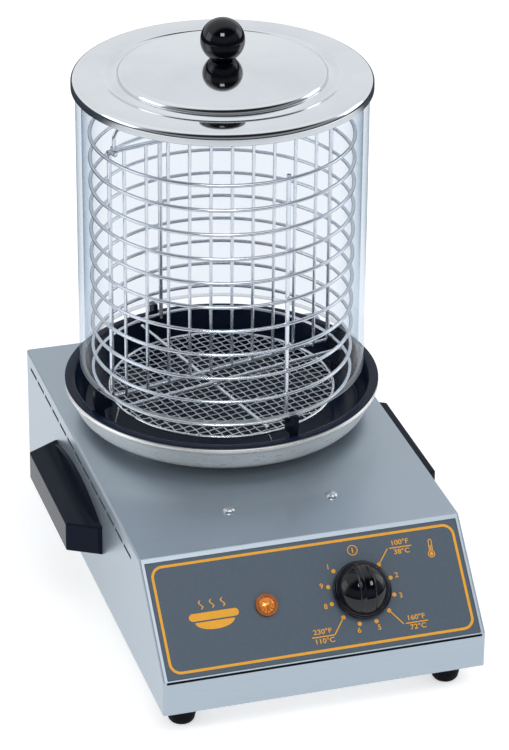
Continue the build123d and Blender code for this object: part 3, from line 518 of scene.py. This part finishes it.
def lettering(target, text, x, t, height, stretch=1.0):
    """Generic numbers and signs, centred on a point of the control face."""
    curve = bpy.data.curves.new("lettering", "FONT")
    curve.body = text
    curve.align_x = "CENTER"
    curve.align_y = "CENTER"
    curve.size = height * MM / CAPITAL_SHARE
    curve.extrude = PRINT_THICK / 2
    curve.offset = height * MM * BOLDER
    writer = bpy.data.objects.new("lettering", curve)
    bpy.context.scene.collection.objects.link(writer)
    bpy.context.view_layer.update()
    mesh = bpy.data.meshes.new_from_object(writer.evaluated_get(bpy.context.evaluated_depsgraph_get()))
    place = FACE @ Matrix.Translation((x * MM, t * MM, PRINT_BASE + PRINT_THICK / 2))
    mesh.transform(place @ Matrix.Diagonal((stretch, 1, 1, 1)))
    target.from_mesh(mesh)
    bpy.data.objects.remove(writer)
    bpy.data.meshes.remove(mesh)
    bpy.data.curves.remove(curve)


def scale_print():
    """Border, dial scale, temperature labels and signs."""
    ink = bmesh.new()
    border, low, high, corner, half_x = 1.8, 4.1, 77.9, 8.0, 105.5
    band(ink, rounded_rectangle(half_x, low, high, corner),
         rounded_rectangle(half_x - border, low + border, high - border, corner - border))
    number_circle, dot_radius, line = 27.2, 1.45, 0.75

    def on_circle(radius, degrees):
        angle = math.radians(degrees)
        return DIAL_X + radius * math.cos(angle), DIAL_T + radius * math.sin(angle)

    for step in range(10):
        dot(ink, *on_circle(DOT_CIRCLE, 45 - 30 * step), dot_radius)
    numbers = {"2": 15, "3": -15, "5": -75, "6": -105, "8": -165, "9": 165, "1": 135}
    for text, degrees in numbers.items():
        lettering(ink, text, *on_circle(number_circle, degrees), 3.5)
    label_high, label_wide, half_rule = 3.3, 1.15, 7.8
    labels = (("100°F", "38°C", 66.2, 66.7, 45, 57.0), ("160°F", "72°C", 66.2, 14.6, -45, 57.0),
              ("230°F", "110°C", 1.0, 14.4, -135, 9.0))
    for upper, lower, x, t, degrees, knee in labels:
        lettering(ink, upper, x, t + 3.3, label_high, label_wide)
        lettering(ink, lower, x + 0.4, t - 3.1, label_high, label_wide)
        stroke(ink, x - half_rule, t, x + half_rule, t, line)
        stroke(ink, *on_circle(DOT_CIRCLE, degrees), knee, t, line)
    off_x, off_t, off_radius, off_line = 33.0, 69.2, 3.3, 1.8
    hoop(ink, off_x, off_t, off_radius, 0.6)
    stroke(ink, off_x, off_t - off_line, off_x, off_t + off_line, 0.7)
    thermometer_sign(ink, 86.8, 62.8)
    sausage_sign(ink, -69.0, 41.5)
    add_piece("fascia_print", ink, orange_ink, "base", smooth_angle=20)


def thermometer_sign(ink, x, t):
    """A plain thermometer outline with a filled bulb."""
    lean = Matrix.Rotation(math.radians(-4), 2)
    bulb_t, top_t = -4.0, 5.0

    def placed(px, pt):
        return tuple(lean @ Vector((px, pt)) + Vector((x, t)))

    outlines = []
    for half, bulb in ((1.35, 2.5), (0.75, 1.9)):
        neck = math.degrees(math.asin(half / bulb))
        points = arc((0, bulb_t), bulb, 90 + neck, 450 - neck, 28) + arc((0, top_t), half, 0, 180, 12)
        outlines.append([placed(*point) for point in points])
    band(ink, *outlines)
    dot(ink, *placed(0, bulb_t), 1.25)
    stroke(ink, *placed(0, -3.0), *placed(0, 2.0), 0.7)


def sausage_sign(ink, x, t):
    """A plain picture of a sausage in a bun under three wisps of steam."""
    printed(ink, capsule(x, t - 1.5, 17.0, 2.6))
    bun_t, bun_radius, bun_gap, squash = t - 3.6, 13.5, 1.6, 0.42
    lower = arc((x, bun_t), bun_radius, 180, 360, 30)
    printed(ink, [(px, bun_t - bun_gap - (bun_t - pt) * squash) for px, pt in lower])
    wisp_gap, wave, wisp_low, wisp_high, half_line, steps = 7.5, 1.1, t + 3.4, 6.0, 0.45, 12
    for k in (-1, 0, 1):
        middle = [(x + wisp_gap * k + wave * math.sin(s / steps * 2 * math.pi),
                   wisp_low + wisp_high * s / steps) for s in range(steps + 1)]
        printed(ink, [(px - half_line, pt) for px, pt in middle]
                + [(px + half_line, pt) for px, pt in reversed(middle)])


def capsule(x, t, half, radius):
    """Outline of a bar with round ends."""
    reach = half - radius
    return arc((x + reach, t), radius, -90, 90, 12) + arc((x - reach, t), radius, 90, 270, 12)


scale_print()


# ---------------------------------------------------------------- glass, lid and its knob
def glass_tube():
    """The cut and fire-polished tube."""
    low, high = glass_low.z, glass_high.z
    outer = (glass_high.x - glass_low.x) / 2
    wall, round_off = 4.0 * MM, 1.3 * MM
    inner = outer - wall
    near, far, foot, top = inner + round_off, outer - round_off, low + round_off, high - round_off
    profile = []
    for centre, start in (((far, foot), -90), ((far, top), 0), ((near, top), 90), ((near, foot), 180)):
        profile += arc(centre, round_off, start, start + 90, 5)
    tube_mesh = bmesh.new()
    lathe(tube_mesh, profile, 256, Matrix.Translation(POT))
    piece = add_piece("glass_tube", tube_mesh, clear_glass, "glass", ["glass_cylinder"], 60)
    piece.data.materials.append(glass_edge)
    for face in piece.data.polygons:
        if face.center.z < foot or face.center.z > top:
            face.material_index = 1


glass_tube()


def soften(outline):
    """Rounds every corner of a closed outline a little, always towards its inside."""
    share = 0.2
    for _ in range(2):
        softer = []
        for i, (r, z) in enumerate(outline):
            r_next, z_next = outline[(i + 1) % len(outline)]
            if r < ON_AXIS and r_next < ON_AXIS:
                softer.append((r, z))
                softer.append((r_next, z_next))
                continue
            near = 0.0 if r < ON_AXIS else share
            far = 1.0 if r_next < ON_AXIS else 1 - share
            softer.append((r + (r_next - r) * near, z + (z_next - z) * near))
            softer.append((r + (r_next - r) * far, z + (z_next - z) * far))
        outline = [p for i, p in enumerate(softer) if p != softer[i - 1]]
    return outline


def arc_through(a, b, c, steps):
    """Points of the circle arc from a over b to c, without a itself."""
    (ax, ay), (bx, by), (cx, cy) = a, b, c
    d = 2 * (ax * (by - cy) + bx * (cy - ay) + cx * (ay - by))
    a_far, b_far, c_far = ax ** 2 + ay ** 2, bx ** 2 + by ** 2, cx ** 2 + cy ** 2
    ux = (a_far * (by - cy) + b_far * (cy - ay) + c_far * (ay - by)) / d
    uy = (a_far * (cx - bx) + b_far * (ax - cx) + c_far * (bx - ax)) / d
    radius = math.hypot(ax - ux, ay - uy)
    start, middle, end = (math.atan2(y - uy, x - ux) for x, y in (a, b, c))
    turn = (end - start) % (2 * math.pi)
    if (middle - start) % (2 * math.pi) > turn:
        turn -= 2 * math.pi
    return arc((ux, uy), radius, math.degrees(start), math.degrees(start + turn), steps)[1:]


def lid_cover():
    """The spun lid: dome with a steep shoulder, groove, flat margin and turned-down edge."""
    low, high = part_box("lid")
    radius = (high.x - low.x) / 2 / MM
    bottom = low.z / MM
    dome_high, shoulder_high, groove_deep = 11.6, 4.4, 2.3
    seat, edge, sheet, hole, mark, mark_deep, hem = 8.5, 4.0, 1.0, 2.1, 7.5, 0.2, 0.3
    margin_z = high.z / MM - dome_high

    def skin(wide, top, inset):
        edge_here = edge - inset
        shoulder, inner, outer = 67.6 - 0.4 * inset, 71.8 - 0.9 * inset, 82.6 + 0.5 * inset
        dome_z, shoulder_z = top + dome_high, top + shoulder_high
        points = [(seat, dome_z)]
        half_way = ((seat + shoulder) / 2, shoulder_z + (dome_z - shoulder_z) * 0.56)
        points += arc_through(points[-1], half_way, (shoulder, shoulder_z), 16)
        points += arc_through(points[-1], (inner - 0.9, top + 2.9), (inner, top - 0.6), 12)
        groove = ((inner + outer) / 2, top - groove_deep)
        points += arc_through(points[-1], groove, (outer - 1.6, top - 0.9), 12)
        points += arc_through(points[-1], (outer - 0.9, top - 0.25), (outer, top), 5)
        return points + arc((wide - edge_here, top - edge_here), edge_here, 90, 0, 12)

    outer_skin = skin(radius, margin_z, 0.0)
    inner_skin = skin(radius - sheet, margin_z - sheet, sheet)
    top_z, under_z = outer_skin[0][1], inner_skin[0][1]
    profile = [(hole, top_z - mark_deep), (mark, top_z - mark_deep), (mark, top_z)] + outer_skin
    profile += [(radius, bottom + hem), (radius - hem, bottom), (radius - sheet, bottom)]
    profile += list(reversed(inner_skin)) + [(hole, under_z)]
    cover = bmesh.new()
    lathe(cover, [(r * MM, z * MM) for r, z in profile], 256, Matrix.Translation(POT))
    piece = add_piece("lid_cover", cover, mirror_steel, "lid", ["lid"], 30)
    piece.data.materials.append(skirt_steel)
    for face in piece.data.polygons:
        if face.center.z < (margin_z - edge) * MM and face.normal.z < 0.1:
            face.material_index = 1


def lid_ball():
    """The round lid knob with its flat foot and the hole for its screw."""
    low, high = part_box("lid_knob")
    radius = (high.x - low.x) / 2
    middle = high.z - radius
    foot = math.degrees(math.asin((middle - low.z) / radius))
    hole, hole_top = 2.1 * MM, low.z + 12 * MM
    profile = arc((0, middle), radius, -foot, 90, 40)
    profile[-1] = (0, high.z)
    profile = [(hole, low.z)] + profile + [(0, hole_top), (hole, hole_top)]
    ball = bmesh.new()
    lathe(ball, profile, 96, Matrix.Translation(POT))
    add_piece("lid_ball", ball, black_gloss, "lid", ["lid_knob"], 50)


def pan_pieces():
    """Spun pan ring and coated pan, with their bends rounded."""
    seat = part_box("pan_ring")[0].z
    ring_outline = [
        (82.2, 0), (96.0, 0), (100.2, 1.2), (103.0, 3.8), (104.6, 7.0), (109.4, 17.4), (110.4, 18.0),
        (110.9, 19.2), (110.9, 20.0), (110.3, 21.0), (109.2, 21.4), (108.2, 20.8), (108.3, 18.4),
        (103.7, 7.6), (102.2, 4.6), (99.7, 2.3), (95.8, 1.0), (82.2, 1.0)]
    pan_outline = [
        (0, 1.0), (95.0, 1.0), (97.6, 1.9), (99.0, 4.0), (104.0, 20.4), (105.4, 21.7), (110.2, 21.7),
        (110.9, 22.2), (110.3, 22.7), (105.2, 22.7), (103.2, 21.4), (97.9, 5.0), (96.4, 2.8),
        (94.6, 2.2), (0, 2.2)]
    for name, outline, made, slot, node in (
            ("spun_pan_ring", ring_outline, spun_steel, "polished_steel", "pan_ring"),
            ("coated_pan", pan_outline, pan_coating, "black_enamel", "water_pan")):
        shape = bmesh.new()
        lathe(shape, soften([(r * MM, seat + z * MM) for r, z in outline]), 224, Matrix.Translation(POT))
        add_piece(name, shape, made, "pan", [node], 40)


lid_cover()
lid_ball()
pan_pieces()


# ---------------------------------------------------------------- dial knob and lamp
def cap_height(rise, reach, r):
    """Height at radius r of a round cap that rises by `rise` over a circle of radius `reach`."""
    ball = (reach ** 2 + rise ** 2) / (2 * rise)
    return rise - ball + math.sqrt(max(ball ** 2 - r ** 2, 0.0))


def knob_height(x, y):
    """Height of the knob's face over its base: a dome with a raised, hollowed bar."""
    reach, base = 18.4, 3.0
    hollow_deep, hollow_wide, bar_half, bar_flank = 1.6, 2.6, 5.6, 0.9
    r = math.hypot(x, y)
    dome = base + cap_height(13.4, reach, r)
    bar = base + cap_height(14.5, reach, r) - hollow_deep * math.exp(-(x / hollow_wide) ** 2)
    inside = min(max((bar_half - abs(x)) / bar_flank, 0.0), 1.0)
    inside = inside * inside * (3 - 2 * inside)
    return dome + (max(bar, dome) - dome) * inside


def dial_knob():
    """Domed knob with a bar grip, set on the dial's axis."""
    reach, skirt, foot, recess, shaft, shaft_top = 19.8, 3.2, 9.5, 1.4, 3.1, 10.0
    steps, face_reach, face_rings = 256, 18.2, 44
    face = bmesh.new()
    place = FACE @ Matrix.Translation((DIAL_X * MM, DIAL_T * MM, KNOB_BASE_N)) @ Matrix.Rotation(
        math.radians(-2.0), 4, "Z")
    angles = [2 * math.pi * k / steps for k in range(steps)]
    rings = [pole(face, place, knob_height(0, 0), steps)]
    for i in range(1, face_rings + 1):
        r = face_reach * (i / face_rings) ** 0.9
        rings.append(ring(face, place, r, [knob_height(r * math.cos(a), r * math.sin(a)) for a in angles]))
    for r, z in ((18.6, skirt), (19.2, skirt - 0.1), (19.65, skirt - 0.5), (reach, skirt - 1.1),
                 (reach, 0.0), (foot, 0.0), (foot, recess), (shaft, recess), (shaft, shaft_top)):
        rings.append(ring(face, place, r, [z] * steps))
    rings.append(pole(face, place, shaft_top, steps))
    skin_rings(face, rings)
    add_piece("dial_knob", face, black_gloss, "dial", ["control_knob"], 50)


def faceted_lens():
    """Signal lamp lens with radial flutes."""
    place = FACE @ Matrix.Translation((LAMP_X * MM, LAMP_T * MM, FASCIA_N))
    lens = bmesh.new()
    steps, per_flute, levels = 72, 6, 8
    reach, crown, drop, flute_deep, base = 5.55, 3.2, 1.9, 0.176, -1.0
    rings = [pole(lens, place, crown, steps)]
    for k in range(1, levels + 1):
        share = k / levels
        flute = flute_deep * share if k < levels else 0.0
        heights = [crown - drop * share ** 2 + (flute if i % per_flute < per_flute / 2 else -flute)
                   for i in range(steps)]
        rings.append(ring(lens, place, reach * share, heights))
    rings.append(ring(lens, place, reach, [base] * steps))
    rings.append(pole(lens, place, base, steps))
    skin_rings(lens, rings)
    add_piece("fluted_lens", lens, amber, "base", ["lamp_lens"], 20)


dial_knob()
faceted_lens()


# ---------------------------------------------------------------- painted shade behind the slots
def slot_shade_boards():
    """Near-black boards with chamfered edges just inside the side walls: painted shade that makes the slots
    look dark.
    """
    boards = bmesh.new()
    inner = housing_high.x - 1.2 * MM
    slot_z = housing_high.z - 10.0 * MM
    front, rear, low, high = -108 * MM, 164 * MM, -20 * MM, 6.5 * MM
    wide, narrow = 4.0 * MM, 2.0 * MM
    outline = [(front, low + wide), (front + wide, low), (rear - wide, low), (rear, low + wide),
               (rear, high - narrow), (rear - narrow, high), (front + narrow, high), (front, high - narrow)]
    for side in (-1, 1):
        place = Matrix.Translation((side * inner, 0, slot_z)) @ Matrix((
            (0, 0, -side, 0), (1, 0, 0, 0), (0, 1, 0, 0), (0, 0, 0, 1)))
        prism(boards, outline, 4.0 * MM, place, 0.4 * MM)
    add_piece("slot_shade_boards", boards, slot_shade_dark, "base", smooth_angle=30)


slot_shade_boards()


# ---------------------------------------------------------------- woven mesh in the pan
def woven_mesh():
    """Crimped wires that pass over and under each other, inside the rim."""
    rim_low, rim_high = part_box("grid_rim")
    rim_wire = 2.4 * MM
    reach = (rim_high.x - rim_low.x) / 2 - rim_wire
    middle = (rim_low.z + rim_high.z) / 2
    pitch, wire, per_pitch = 6.25 * MM, 0.36 * MM, 6
    crimp = wire * 0.55
    half = int(reach / pitch)
    for name, across in (("mesh_wires_long", False), ("mesh_wires_cross", True)):
        cloth = bmesh.new()
        for i in range(-half, half + 1):
            offset = i * pitch
            length = math.sqrt(reach ** 2 - offset ** 2)
            steps = max(8, int(2 * length / pitch * per_pitch))
            path = []
            for k in range(steps + 1):
                s = -length + 2 * length * k / steps
                phase = math.pi * s / pitch + math.pi * i
                z = middle + crimp * math.cos(phase) * (1 if across else -1)
                x, y = (offset, s) if across else (s, offset)
                path.append(BASKET @ Vector((x, y, z)))
            tube(cloth, path, wire, 6)
        node = "grid_wires_cross" if across else "grid_wires_long"
        add_piece(name, cloth, mesh_wire, "grid", [node], 80)


woven_mesh()


# ---------------------------------------------------------------- camera, floor and light
def add_camera():
    """Long lens, from the front left and above."""
    yaw, pitch, roll = math.radians(17.088), math.radians(27.647), math.radians(0.461)
    aim, distance = Vector((0.0, -0.0254, 0.1715)), 2.3286
    forward = Vector((math.sin(yaw) * math.cos(pitch), math.cos(yaw) * math.cos(pitch), -math.sin(pitch)))
    level = Vector((math.cos(yaw), -math.sin(yaw), 0))
    rise = level.cross(forward)
    right = level * math.cos(roll) + rise * math.sin(roll)
    up = rise * math.cos(roll) - level * math.sin(roll)
    data = bpy.data.cameras.new("camera")
    data.lens = 163.86
    data.sensor_width = 36.0
    data.clip_end = 50.0
    camera = bpy.data.objects.new("camera", data)
    place = Matrix((right, up, -forward)).transposed().to_4x4()
    camera.matrix_world = Matrix.Translation(aim - forward * distance) @ place
    bpy.context.scene.collection.objects.link(camera)
    bpy.context.scene.camera = camera


def add_floor():
    """A wide pale floor, lit from below like a light table; mirrors see it end in the dark."""
    sheet = bmesh.new()
    bmesh.ops.create_grid(sheet, x_segments=1, y_segments=1, size=40.0)
    floor = finish_mesh("floor", sheet)
    pale = grain(material("pale_floor", (0.8, 0.8, 0.8), Specular_IOR_Level=0.0,
                          Emission_Color=(1, 1, 1, 1), Emission_Strength=0.52),
                 8, (1, 1, 1), (0.79, 0.795, 0.80), (0.81, 0.815, 0.82), 0.7, 0.8)
    nodes, links = pale.node_tree.nodes, pale.node_tree.links
    place = nodes.new("ShaderNodeTexCoord")
    widen = nodes.new("ShaderNodeMapping")
    widen.inputs["Scale"].default_value = (0.55, 1, 1)
    links.new(place.outputs["Object"], widen.inputs["Vector"])
    away = nodes.new("ShaderNodeVectorMath")
    away.operation = "DISTANCE"
    away.inputs[1].default_value = (0, -0.35, 0)
    links.new(widen.outputs["Vector"], away.inputs[0])
    far = add_range(nodes, 0.72, 0.88, 0.0, 1.0)
    far.interpolation_type = "SMOOTHSTEP"
    links.new(away.outputs["Value"], far.inputs["Value"])
    ray = nodes.new("ShaderNodeLightPath")
    hidden = nodes.new("ShaderNodeMath")
    hidden.operation = "MULTIPLY"
    links.new(far.outputs["Result"], hidden.inputs[0])
    links.new(ray.outputs["Is Glossy Ray"], hidden.inputs[1])
    dark = nodes.new("ShaderNodeEmission")
    dark.inputs["Color"].default_value = (0.05, 0.06, 0.075, 1)
    both = nodes.new("ShaderNodeMixShader")
    links.new(hidden.outputs["Value"], both.inputs["Fac"])
    links.new(nodes["Principled BSDF"].outputs["BSDF"], both.inputs[1])
    links.new(dark.outputs["Emission"], both.inputs[2])
    links.new(both.outputs["Shader"], nodes["Material Output"].inputs["Surface"])
    paint(floor, pale)


def add_light(name, place, aim, width, height, power, color=(1, 1, 1), lit=None, only_shine=False):
    """A soft rectangular light that points at `aim`, for all pieces or for the collection `lit`."""
    data = bpy.data.lights.new(name, "AREA")
    data.shape = "RECTANGLE"
    data.size, data.size_y = width, height
    data.energy = power
    data.color = color
    lamp = bpy.data.objects.new(name, data)
    lamp.location = place
    lamp.visible_diffuse = not only_shine
    lamp.visible_camera = False
    if lit:
        lamp.light_linking.receiver_collection = lit
    lamp.rotation_euler = (Vector(aim) - Vector(place)).to_track_quat("-Z", "Y").to_euler()
    bpy.context.scene.collection.objects.link(lamp)


def add_world():
    """Even light for matt surfaces; mirrors see a pale sky, but a grey strip in the dark to the front."""
    world = bpy.data.worlds.new("studio")
    bpy.context.scene.world = world
    world.use_nodes = True
    nodes, links = world.node_tree.nodes, world.node_tree.links
    place = nodes.new("ShaderNodeTexCoord")
    split = nodes.new("ShaderNodeSeparateXYZ")
    links.new(place.outputs["Generated"], split.inputs["Vector"])
    stops = ((0.0, 0.86), (0.10, 0.90), (0.38, 0.88), (0.50, 0.84), (0.85, 0.95))
    sky = add_ramp(nodes, [(height, (level * 0.97, level * 0.985, level)) for height, level in stops])
    links.new(split.outputs["Z"], sky.inputs["Fac"])
    bands = ((0.0, 0.10), (0.22, 0.32), (0.48, 0.32), (0.58, 0.02), (1.0, 0.02))
    front = add_ramp(nodes, [(height, (level, level, level)) for height, level in bands])
    links.new(split.outputs["Z"], front.inputs["Fac"])
    forward = add_range(nodes, -0.30, 0.10, 0.0, 1.0)
    forward.interpolation_type = "SMOOTHSTEP"
    links.new(split.outputs["Y"], forward.inputs["Value"])
    links.new(front.outputs["Color"], forward.inputs["To Min"])
    room = nodes.new("ShaderNodeBackground")
    links.new(sky.outputs["Color"], room.inputs["Color"])
    links.new(forward.outputs["Result"], room.inputs["Strength"])
    even = nodes["Background"]
    even.inputs["Color"].default_value = (0.97, 0.985, 1.0, 1)
    even.inputs["Strength"].default_value = 0.66
    ray = nodes.new("ShaderNodeLightPath")
    both = nodes.new("ShaderNodeMixShader")
    links.new(ray.outputs["Is Glossy Ray"], both.inputs["Fac"])
    links.new(even.outputs["Background"], both.inputs[1])
    links.new(room.outputs["Background"], both.inputs[2])
    links.new(both.outputs["Shader"], nodes["World Output"].inputs["Surface"])


def light_groups():
    """Which pieces the softboxes light, and which take the small sharp highlight."""
    # mirrors and black gloss show the dark room, not the softboxes; satin pieces take no sharp highlight
    softboxes = bpy.data.collections.new("softbox_group")
    highlight = bpy.data.collections.new("shine_group")
    mirrors, gloss = ("lid_cover", "glass_tube"), ("lid_ball", "dial_knob")
    satin = ("housing", "spun_pan_ring", "fascia_plate", "floor", "hot_plate")
    for thing in bpy.context.scene.objects:
        if thing.type != "MESH" or thing.name in mirrors:
            continue
        if thing.name not in gloss:
            softboxes.objects.link(thing)
        if thing.name not in satin:
            highlight.objects.link(thing)
    return softboxes, highlight


add_camera()
add_floor()
centre = Vector((0, 0, 0.15))
softbox_group, shine_group = light_groups()
add_light("overhead", (0.5, -1.05, 1.75), centre, 1.2, 0.8, 6.0, lit=softbox_group)
add_light("key", (-0.36, -1.2, 1.75), centre, 1.1, 0.8, 5.0, lit=softbox_group)
add_light("key_shine", (-0.40, -1.17, 1.74), centre, 0.60, 0.50, 12.0, lit=shine_group, only_shine=True)
add_light("left_fill", (-1.9, 0.3, 0.9), centre, 1.1, 1.0, 4.0, (0.93, 0.97, 1.0))
add_light("right_fill", (1.9, 0.2, 0.9), centre, 0.9, 1.0, 3.0, (0.95, 0.98, 1.0))
add_world()
bpy.context.scene.view_settings.view_transform = "Standard"
